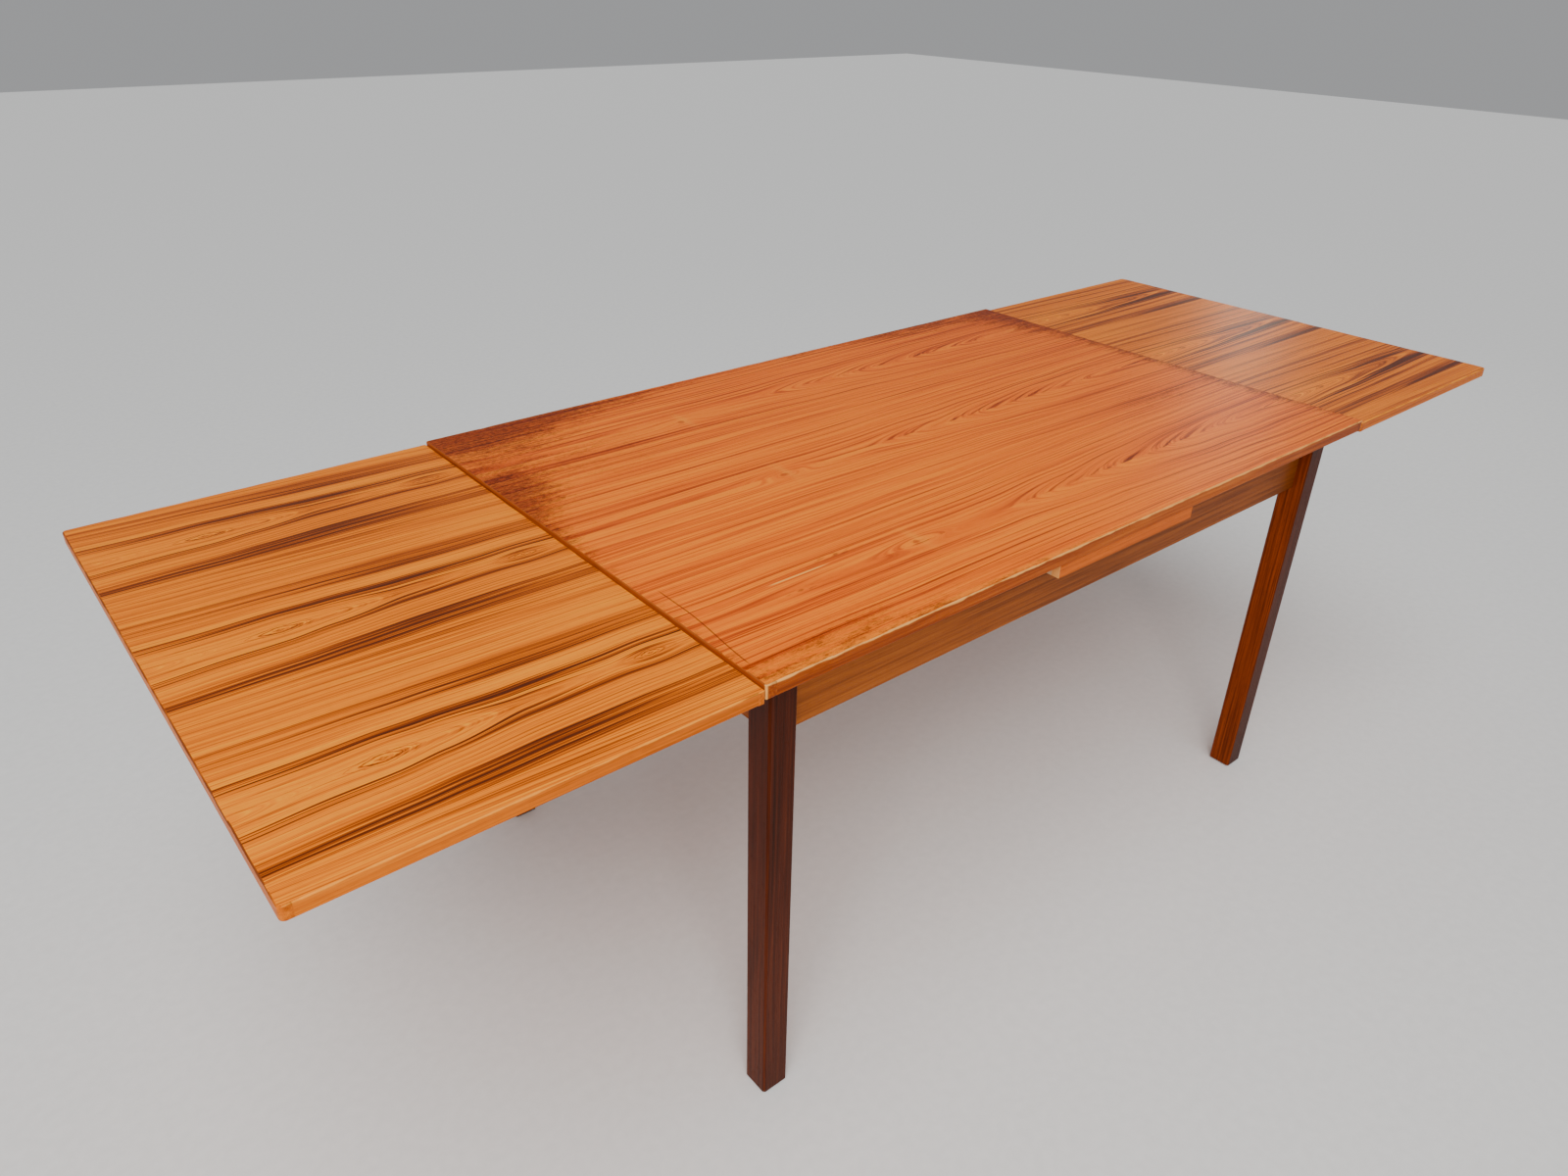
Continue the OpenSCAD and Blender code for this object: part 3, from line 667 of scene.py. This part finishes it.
def worn_strip(node, body, faces, radius, corner, solid, veneer):
    """A lipping in place of a CAD one, with rounded, slightly dented outer edges.

    The veneer runs over its level faces, and the solid wood shows at the outer edges.
    """
    low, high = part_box(node)
    size = high - low
    mesh = bmesh.new()
    bmesh.ops.create_cube(mesh, size=1.0)
    bmesh.ops.scale(mesh, vec=size, verts=mesh.verts)
    bmesh.ops.translate(mesh, vec=(low + high) / 2, verts=mesh.verts)
    mesh.normal_update()
    upright = upright_edges(mesh, faces)
    if upright:
        bmesh.ops.bevel(
            mesh, geom=upright, offset=corner, segments=5, profile=0.5, affect="EDGES")
        mesh.normal_update()
    rim = [e for e in mesh.edges if is_rim(e, faces)]
    bmesh.ops.bevel(mesh, geom=rim, offset=radius, segments=3, profile=0.5, affect="EDGES")
    slice_along(mesh, low, size)
    dent(mesh, low, high, faces, radius)
    data = bpy.data.meshes.new(node + "_worn")
    mesh.to_mesh(data)
    mesh.free()
    data.materials.append(solid)
    data.materials.append(veneer)
    for face in data.polygons:
        face.material_index = 1 if abs(face.normal.z) > LEVEL else 0
        face.use_smooth = max(map(abs, face.normal)) < SQUARE
    piece = bpy.data.objects.new(node + "_worn", data)
    bpy.context.scene.collection.objects.link(piece)
    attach(piece, body)
    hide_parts(node)


def is_rim(edge, faces):
    """Does a level face meet an outer face, or the round corner between two outer faces?"""
    level = [f for f in edge.link_faces if abs(f.normal.z) > NEARLY_LEVEL]
    others = [f for f in edge.link_faces if abs(f.normal.z) <= NEARLY_LEVEL]
    if len(level) != 1 or len(others) != 1:
        return False
    return any(faces_out(others[0].normal, side) for side in faces)


def faces_out(normal, side):
    """Does a normal point towards the named side?"""
    sign = 1 if side[1] == "+" else -1
    return normal[AXES[side[0]]] * sign > OUTWARD


def slice_along(mesh, low, size):
    """Cuts the strip across its length, so that its edges can be uneven."""
    axis = 0 if size.x > size.y else 1
    direction = Vector((1, 0, 0)) if axis == 0 else Vector((0, 1, 0))
    count = round(size[axis] / SLICE)
    for i in range(1, count):
        place = low.copy()
        place[axis] += size[axis] * (i + 0.3 * math.sin(i * 2.4)) / count
        geometry = mesh.verts[:] + mesh.edges[:] + mesh.faces[:]
        bmesh.ops.bisect_plane(mesh, geom=geometry, plane_co=place, plane_no=direction)


def dent(mesh, low, high, faces, radius):
    """Presses the outer upper arris in a little, unevenly."""
    for vert in mesh.verts:
        to_top = high.z - vert.co.z
        if to_top > 2 * radius:
            continue
        for side in faces:
            axis = AXES[side[0]]
            plus = side[1] == "+"
            to_side = (high[axis] - vert.co[axis]) if plus else (vert.co[axis] - low[axis])
            if to_side > 2 * radius:
                continue
            wear = max(0.0, noise.noise(vert.co * 60.0) + 0.35 * noise.noise(vert.co * 190.0))
            vert.co[axis] += (-1 if plus else 1) * wear * DENT_IN
            vert.co.z -= wear * DENT_DOWN


def make_lippings():
    """All twelve lippings, four on each of the main top and the two leaves."""
    lip = materials["teak_top_lipping"]
    gold = materials["teak_leaf_lipping"]
    face = materials["teak_top"]
    for way, out in (("front", "y-"), ("back", "y+")):
        worn_strip(f"top_lipping_{way}", "top", [out],
                   ARRIS, CORNER, lip, face)
    for side, out, inner in (("left", "x-", "x+"), ("right", "x+", "x-")):
        worn_strip(f"top_lipping_{side}", "top", [out, "y-", "y+"],
                   ARRIS, CORNER, cross_lipping, face)
        body = f"{side}_leaf"
        face_leaf = leaf_materials[side]
        worn_strip(f"{body}_lipping_outer", body, [out, "y-", "y+"],
                   ARRIS, LEAF_CORNER, cross_gold, face_leaf)
        worn_strip(f"{body}_lipping_inner", body, [inner, "y-", "y+"],
                   INNER_ARRIS, INNER_CORNER, cross_gold, face_leaf)
        for way, side_out in (("front", "y-"), ("back", "y+")):
            worn_strip(f"{body}_lipping_{way}", body, [side_out],
                       ARRIS, CORNER, gold, face_leaf)


# ---- finishes on the CAD nodes ----


def soften(obj, width):
    """Takes the sharp arris off a CAD node."""
    bevel = obj.modifiers.new("soft_edges", "BEVEL")
    bevel.width = width
    bevel.segments = 2
    bevel.limit_method = "ANGLE"
    bevel.angle_limit = math.radians(35)


def dress_nodes():
    """Gives each CAD node its material, and softens the edges of wood and steel."""
    slot_of = {row["node"]: row["material_slot"] for row in frame["record"]["subparts"]}
    widths = {"teak_apron": 0.0008, "teak_leg": 0.0012, "beech": 0.0008, "steel": 0.0002}
    for name, obj in nodes.items():
        slot = slot_of[name]
        finish = materials.get(slot)
        if slot == "teak_leaf":
            finish = leaf_materials[name.split("_")[0]]
        if name.startswith("end_rail"):
            finish = rail_teak
        if name.startswith("centre_board_lip"):
            finish = board_edge
        obj.data.materials.clear()
        obj.data.materials.append(finish)
        if slot in widths:
            soften(obj, widths[slot])


make_lippings()
dress_nodes()


# ---- floor, light and camera ----


def make_floor():
    mesh = bpy.data.meshes.new("floor")
    half = 14.0
    mesh.from_pydata([(-half, -half, 0), (half, -half, 0), (half, half, 0), (-half, half, 0)],
                     [], [(0, 1, 2, 3)])
    g = Graph("floor")
    speck = g.noise(g.mul(g.x, 60.0), g.mul(g.y, 60.0), 0.0, 3.0)
    g.finish(g.ramp(speck, [(0.3, (0.79, 0.79, 0.78)), (0.7, (0.83, 0.83, 0.82))]), 0.85)
    mesh.materials.append(g.material)
    floor = bpy.data.objects.new("floor", mesh)
    bpy.context.scene.collection.objects.link(floor)


def area_light(name, place, target, size, power, colour):
    data = bpy.data.lights.new(name, "AREA")
    data.shape = "RECTANGLE"
    data.size, data.size_y = size
    data.energy = power
    data.color = colour
    light = bpy.data.objects.new(name, data)
    place, target = Vector(place), Vector(target)
    light.matrix_world = Matrix.Translation(place) @ (target - place).to_track_quat(
        "-Z", "Y").to_matrix().to_4x4()
    light.visible_camera = False
    bpy.context.scene.collection.objects.link(light)


def soft_sun(direction, strength, angle):
    """A broad light from above. angle is its width in degrees."""
    data = bpy.data.lights.new("sky", "SUN")
    data.energy = strength
    data.angle = math.radians(angle)
    light = bpy.data.objects.new("sky", data)
    light.matrix_world = Vector(direction).to_track_quat("-Z", "Y").to_matrix().to_4x4()
    bpy.context.scene.collection.objects.link(light)


def make_lights():
    world = bpy.data.worlds.new("studio")
    world.use_nodes = True
    back = world.node_tree.nodes["Background"]
    back.inputs[0].default_value = (0.97, 0.98, 1.0, 1)
    back.inputs[1].default_value = 0.36
    bpy.context.scene.world = world
    soft_sun(direction=(0.35, 0.30, -1.0), strength=1.6, angle=50)
    area_light(
        "key", place=(-2.2, -2.2, 2.6), target=(-0.6, -0.1, 0.7), size=(2.0, 1.4), power=72,
        colour=(1.0, 0.97, 0.93))
    area_light(
        "sheen", place=(3.2, 1.15, 1.5), target=(0.6, -0.2, 0.7), size=(0.25, 1.1), power=2.8,
        colour=(1.0, 0.92, 0.82))


def make_camera():
    data = bpy.data.cameras.new("camera")
    data.sensor_width = 36.0
    data.lens = 25.63
    camera = bpy.data.objects.new("camera", data)
    right = Vector((0.77258, -0.63462, 0.01929))
    ahead = Vector((0.5602, 0.66706, -0.49113)).normalized()
    up = right.cross(ahead).normalized()
    right = ahead.cross(up)
    turn = Matrix((right, up, -ahead)).transposed().to_4x4()
    camera.matrix_world = Matrix.Translation((-1.2613, -1.1784, 1.3955)) @ turn
    bpy.context.scene.collection.objects.link(camera)
    bpy.context.scene.camera = camera


make_floor()
make_lights()
make_camera()
